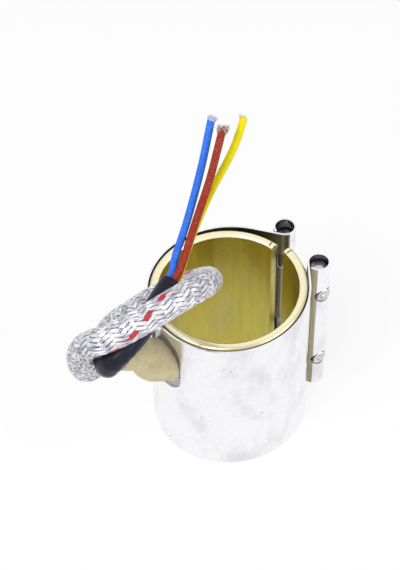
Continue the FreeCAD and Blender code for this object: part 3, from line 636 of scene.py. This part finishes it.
def dress_liner():
    """The liner, with how far each point lies through the band: its radius from its own arc's
    centre, less the bore's, over the lip's width."""
    piece = dressed("brass_liner", BRASS)
    points = np.empty(len(piece.data.vertices) * 3)
    piece.data.vertices.foreach_get("co", points)
    level = points.reshape(-1, 3)[:, :2] / MM
    turn = np.degrees(np.arctan2(level[:, 1], level[:, 0])) % 360
    sprung = (turn > SPRING_ANGLE) | (turn < SPRING_END)
    start = math.radians(SPRING_ANGLE)
    centre = -SPRING_OPENING * np.array([math.cos(start), math.sin(start)])
    radius = np.where(sprung, np.linalg.norm(level - centre, axis=1) - SPRING_OPENING,
                      np.linalg.norm(level, axis=1))
    attribute = piece.data.attributes.new("through_band", "FLOAT", "POINT")
    attribute.data.foreach_set("value", ((radius - BORE_RADIUS) / LIP_WIDTH).astype(np.float32))


dress_liner()
dress_strap()
dressed("tapped_barrel", BARREL)
dressed("plain_barrel", BARREL)
dressed("clamp_screw_upper", SCREW, "upper_screw")
dressed("clamp_screw_lower", SCREW, "lower_screw")
dressed("outlet_plate", PLATE)
dressed("outlet_bush", CERAMIC)
dressed("outer_sheath", SHEATH)
for layer in ("inner_mica", "core_mica", "outer_mica"):
    dressed(layer, MICA)
dressed("resistance_ribbon", RIBBON)
for strip in ("live_strip", "neutral_strip"):
    dressed(strip, STRIP)
for crimp in ("live_crimp", "neutral_crimp", "earth_crimp"):
    dressed(crimp, CRIMP)
for colour in ("blue", "brown", "yellow"):
    dressed(colour + "_wire_tail", COVERS[colour + "_wire"])


# --- the lead ---------------------------------------------------------------------------------
def carried(places, line, at):
    """The line's point, and its carried frame, at each of the given places, by interpolation."""
    frames = carried_frames(line)
    spot = [np.stack([np.interp(at, places, part[:, k]) for k in range(3)], axis=1)
            for part in (line, *frames)]
    beyond = np.asarray(at) - np.clip(at, places[0], places[-1])
    return spot[0] + beyond[:, None] * spot[1], tuple(spot[1:])


def tube(name, places, line, profile, columns, material, ripple=None):
    """A profile of (place along, radius) turned round the line: point = line + radius (cos side +
    sin over). It starts and ends on the line, so the tube is closed. Ripple adds to the radius."""
    at, radius = np.array(profile).T
    middle, frames = carried(places, line, at)
    angle = np.linspace(0, 2 * np.pi, columns, endpoint=False)[None, :]
    radius = np.repeat(radius[:, None], columns, axis=1)
    if ripple is not None:
        radius = np.where(radius > 1e-6, radius + ripple(at[:, None], angle), radius)
    rings = ring_points(middle, frames, radius, angle)
    faces = grid_faces(len(at), columns, wrap=True)
    row, column = faces // columns, faces % columns
    closing = (column == 0) & (column.max(axis=1, keepdims=True) > 1)
    turn = np.where(closing, columns, column)
    uv = np.stack([turn / columns, at[row] * UV_PER_MM], axis=-1)
    return new_piece(name, rings.reshape(-1, 3), faces, [material], uv=uv.reshape(-1, 2))


def closed_profile(length, radius, step, rounding=0.3):
    """A plain tube's profile: flat start, straight side and a rounded end."""
    side = np.linspace(0, length - rounding, int(length / step) + 2)
    bend = np.linspace(0, np.pi / 2, 4)[1:]
    profile = [(0.0, 0.0)] + [(place, radius) for place in side]
    profile += [(length - rounding + rounding * math.sin(a), radius - rounding * (1 - math.cos(a)))
                for a in bend]
    return profile + [(length, 0.0)]


LAY = 54.0                    # mm of braid for one turn of a strip round it
STRIPS = 16                   # strips that wind each way
STRIP_SHARE = 0.88            # of a strip's pitch that it covers
BRAID_MIDDLE_R = 4.2
BRAID_WEAVE = 0.2
STRIP_CROWN = 0.1
STRIP_THICKNESS = 0.25
TRACER_AT = 79.0              # a place along the braid where the tracer passes over
TRACER_ANGLE = 57.0           # and its angle round the braid there
CORE_R = 3.85
END_GRIP = 0.4                # how much the shrunk tube squeezes the braid's end
GRIP_LENGTH = 5.0
SQUARENESS = 2.2              # how quickly a strip goes from over to under
CORE_COLUMNS = 20
STRIP_SHIFT = 3               # apart in the pattern: one strip from the next
WAY_SHIFT = 70                # and one winding from the other


def braid(name, places, line, material_list):
    """Sixteen flat strips wind each way round the line, each over two crossing strips and under the
    next two. With p and q the two windings' turns times sixteen, and j a strip's own number, the
    wave of one winding is w(q - j - 1/2), and of the other -w(j - p - 1/2), where
    w(t) = tanh(squareness cos(pi t / 2)) / tanh(squareness). A strip's radius is the middle radius
    plus weave times its wave, and plus crown (1 - x^2) at x across it, from -1 to 1."""
    winding = 2 * np.pi / LAY
    frames = carried_frames(line)
    squeeze = END_GRIP * np.clip(1 - (places[-1] - places) / GRIP_LENGTH, 0, 1)[:, None] ** 2
    tracer = math.radians(TRACER_ANGLE)
    rising = tracer - winding * TRACER_AT - 3 * np.pi / STRIPS
    falling = tracer + winding * TRACER_AT
    half = STRIP_SHARE * np.pi / STRIPS
    top = np.linspace(-1, 1, 4)
    across = np.concatenate([top, top[[3, 0]]])
    on_top = np.array([1, 1, 1, 1, 0, 0])
    vertices, faces, slots, uv = [], [], [], []
    count = 0
    rows, columns = len(places), len(across)
    for way, start in ((1, rising), (-1, falling)):
        for strip in range(STRIPS):
            middle = way * winding * places + start + 2 * np.pi * strip / STRIPS
            angle = middle[:, None] + across[None, :] * half
            p = (angle - winding * places[:, None] - rising) * STRIPS / (2 * np.pi)
            q = (angle + winding * places[:, None] - falling) * STRIPS / (2 * np.pi)
            turn = q - strip - 0.5 if way > 0 else strip - p - 0.5
            wave = np.tanh(SQUARENESS * np.cos(np.pi / 2 * turn)) / math.tanh(SQUARENESS)
            radius = (BRAID_MIDDLE_R + way * BRAID_WEAVE * wave + STRIP_CROWN * (1 - across ** 2)
                      - STRIP_THICKNESS * (1 - on_top) - squeeze)
            vertices.append(ring_points(line, frames, radius, angle).reshape(-1, 3))
            quads = grid_faces(rows, columns, wrap=True, start=count)
            faces.append(quads)
            slots.append(np.full(len(quads), 2 if (way, strip) == (-1, 0) else 1))
            row, column = (quads - count) // columns, (quads - count) % columns
            own = (across[column] + 1) / 2 + strip * STRIP_SHIFT + (way > 0) * WAY_SHIFT
            spread = np.stack([own, places[row] * UV_PER_MM], axis=-1)
            uv.append(spread.reshape(-1, 2))
            count += rows * columns
    angle = np.linspace(0, 2 * np.pi, CORE_COLUMNS, endpoint=False)[None, :]
    vertices.append(ring_points(line, frames, CORE_R - np.repeat(squeeze, CORE_COLUMNS, axis=1),
                                angle).reshape(-1, 3))
    quads = grid_faces(rows, CORE_COLUMNS, wrap=True, start=count)
    faces.append(quads)
    slots.append(np.zeros(len(quads)))
    uv.append(np.zeros((len(quads) * 4, 2)))
    caps = []
    for strip in range(2 * STRIPS):
        first = list(range(strip * rows * columns, strip * rows * columns + columns))
        caps += [first[::-1], [place + (rows - 1) * columns for place in first]]
    first = list(range(count, count + CORE_COLUMNS))
    caps += [first[::-1], [place + (rows - 1) * CORE_COLUMNS for place in first]]
    slots.append(np.zeros(len(caps)))
    uv.append(np.zeros((sum(len(cap) for cap in caps), 2)))
    return new_piece(name, np.concatenate(vertices), np.concatenate(faces).tolist() + caps,
                     material_list, slots=np.concatenate(slots), uv=np.concatenate(uv))


def add_lead(sleeve):
    line, places = smooth_line(lead_control(), LINE_STEP)
    piece = braid("braided_lead_finish", places, line, [UNDER_BRAID, CARRIER, TRACER])
    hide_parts("braided_lead")
    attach(piece, "root")


SLIP_BACK = 1.4               # mm of the braid that the shrunk tube covers
FLARE = 0.75                  # how much wider it is there
FLARE_AT = 5.0                # mm along it where half the flare is left
FLARE_FADE = 1.5
MOUTH_DEPTH = 1.4
SLEEVE_ROWS = 90
SLEEVE_COLUMNS = 40
CREASE = 0.10                 # depth of the creases round the bend
CREASE_AT = 15.0
CREASE_REACH = 7.0
CREASE_SPACING = 2.9
OVALNESS = 0.05
WIRE_COLUMNS = 20
WIRE_TUCK = 1.3               # mm of each wire that lies inside the shrunk tube


def add_sleeve():
    """The shrunk tube: wide where it grips the braid, then its own size, its open end turned in."""
    line, places = smooth_line(sleeve_control(), LINE_STEP)
    length = places[-1]
    side = np.linspace(-SLIP_BACK, length - 0.25, SLEEVE_ROWS)
    grip = 1 / (1 + np.exp((side - FLARE_AT) / FLARE_FADE))
    profile = [(0.4, 0.0), (0.2, 4.2), (-SLIP_BACK, 4.3)]
    profile += list(zip(side, SLEEVE_TUBE_R + FLARE * grip))
    profile += [(length - 0.08, SLEEVE_TUBE_R - 0.1), (length, SLEEVE_TUBE_R - 0.3),
                (length - 0.1, SLEEVE_TUBE_R - 0.55),
                (length - MOUTH_DEPTH, SLEEVE_TUBE_R - 0.62), (length - MOUTH_DEPTH, 0.0)]

    def ripple(at, angle):
        """Small creases round the bend, and a slow change of roundness along the tube."""
        bend = np.exp(-((at - CREASE_AT) / CREASE_REACH) ** 2)
        waves = np.cos(2 * np.pi * at / CREASE_SPACING + 1.3 * np.cos(angle))
        return CREASE * bend * waves + OVALNESS * np.cos(2 * angle + at / 6)

    piece = tube("heat_shrink_finish", places, line, profile, SLEEVE_COLUMNS, SHRINK, ripple)
    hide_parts("heat_shrink_sleeve")
    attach(piece, "root")
    return piece


def tuft(name, root, along, reach, spread, thickness, count, material, lean=(0, 0, 0)):
    """Frayed ends: each fibre leaves the root as a thin three-sided strand that bends outwards,
    point = root + start + reach t along + spread t^1.6 outwards, thinning to its tip."""
    along = along / np.linalg.norm(along)
    side = np.cross(along, [0.3, 0.8, 0.1])
    side /= np.linalg.norm(side)
    over = np.cross(along, side)
    stations = np.linspace(0, 1, 6)
    turn = rng.uniform(0, 2 * np.pi, count)
    start = WIRE_R * 0.85 * np.sqrt(rng.uniform(0, 1, count))
    outward = np.cos(turn)[:, None] * side + np.sin(turn)[:, None] * over
    height = reach * rng.uniform(0.55, 1.0, count)
    width = spread * rng.uniform(0.1, 1.0, count)
    middle = (root + start[:, None, None] * outward[:, None, :]
              + (height[:, None] * stations)[..., None] * along
              + (width[:, None] * stations ** 1.6)[..., None]
              * (outward[:, None, :] + np.asarray(lean)))
    ring = np.linspace(0, 2 * np.pi, 3, endpoint=False)
    around = np.cos(ring)[:, None] * side + np.sin(ring)[:, None] * over
    size = thickness * (1 - 0.7 * stations)
    points = middle[:, :, None, :] + size[None, :, None, None] * around[None, None, :, :]
    strand = grid_faces(len(stations), 3, wrap=True)
    block = len(stations) * 3
    faces = (strand[None, :, :] + (np.arange(count) * block)[:, None, None]).reshape(-1, 4).tolist()
    for k in range(count):
        faces.append([k * block + 2, k * block + 1, k * block])
        faces.append([k * block + block - 3, k * block + block - 2, k * block + block - 1])
    piece = new_piece(name, points.reshape(-1, 3), faces, [material], smooth=False)
    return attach(piece, "root")


def add_wire(name, tufts):
    line, places = smooth_line(wire_control(name), LINE_STEP)
    profile = closed_profile(places[-1], WIRE_R, LINE_STEP)
    profile = [(-WIRE_TUCK, 0.0), (-WIRE_TUCK, WIRE_R)] + profile[2:]
    piece = tube(name + "_finish", places, line, profile, WIRE_COLUMNS, COVERS[name])
    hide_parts(name)
    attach(piece, "root")
    along = line[-1] - line[-3]
    along /= np.linalg.norm(along)
    ends = [tuft(f"{name}_fray_{index + 1}", line[-1] - 0.5 * along + np.array(shift), along,
                 reach, spread, thickness, count, FRAYS[name], lean)
            for index, (shift, reach, spread, thickness, count, lean) in enumerate(tufts)]


add_lead(add_sleeve())
add_wire("blue_wire", [((0, 0, -0.6), 2.6, 1.1, 0.13, 220, (0.3, 0, 0))])
add_wire("brown_wire", [((-0.7, 0, -0.5), 3.2, 0.5, 0.12, 70, (-0.8, 0, 0.2)),
                                       ((0.7, 0, -0.5), 3.2, 0.5, 0.12, 70, (0.9, 0, 0.2))])
add_wire("yellow_wire", [((-0.5, 0, 0), 2.0, 0.5, 0.08, 40, (-1.2, 0, 0.2))])


# --- floor and light ------------------------------------------------------------------------------
def seen_directly(tree):
    """One for what the camera sees, also in metal and through glass."""
    path = node(tree, "ShaderNodeLightPath")
    first = math_node(tree, "MAXIMUM", path.outputs["Is Camera Ray"], path.outputs["Is Glossy Ray"])
    return math_node(tree, "MAXIMUM", first, path.outputs["Is Transmission Ray"])


def add_floor():
    material = bpy.data.materials.new("floor")
    material.use_nodes = True
    tree = material.node_tree
    tree.nodes.clear()
    pale = node(tree, "ShaderNodeBsdfDiffuse", {"Color": (0.92, 0.92, 0.92, 1)})
    glow = node(tree, "ShaderNodeEmission", {"Color": (1, 1, 1, 1), "Strength": 1.0})
    share = times(tree, seen_directly(tree), FLOOR_GLOW)
    mixed = node(tree, "ShaderNodeMixShader", {0: share, 1: pale.outputs[0], 2: glow.outputs[0]})
    leave = node(tree, "ShaderNodeOutputMaterial")
    tree.links.new(mixed.outputs[0], leave.inputs["Surface"])
    size, level = FLOOR_HALF_SIZE, -BAND_HALF_HEIGHT - FLOOR_GAP
    corners = [(-size, -size, level), (size, -size, level),
               (size, size, level), (-size, size, level)]
    new_piece("floor", corners, [[0, 1, 2, 3]], [material], smooth=False)


def add_light(name, place, size, power):
    lamp = bpy.data.lights.new(name, "AREA")
    lamp.size = size
    lamp.energy = power
    holder = bpy.data.objects.new(name, lamp)
    place = Vector(place)
    holder.location = place
    holder.rotation_euler = (LAMP_AIM - place).to_track_quat("-Z", "Y").to_euler()
    bpy.context.scene.collection.objects.link(holder)


def add_world():
    world = bpy.data.worlds.new("studio")
    world.use_nodes = True
    tree = world.node_tree
    strength = ramp(tree, seen_directly(tree), 0.0, 1.0, WORLD_LIGHT, 1.0)
    background = tree.nodes["Background"]
    background.inputs["Color"].default_value = (1, 1, 1, 1)
    tree.links.new(strength, background.inputs["Strength"])
    bpy.context.scene.world = world


add_floor()
add_light("key", (-0.45, -0.55, 0.85), LAMP_SIZE, 6.0)
add_light("fill", (0.70, -0.30, 0.55), LAMP_SIZE, 2.0)
add_world()
bpy.context.scene.view_settings.view_transform = "Standard"
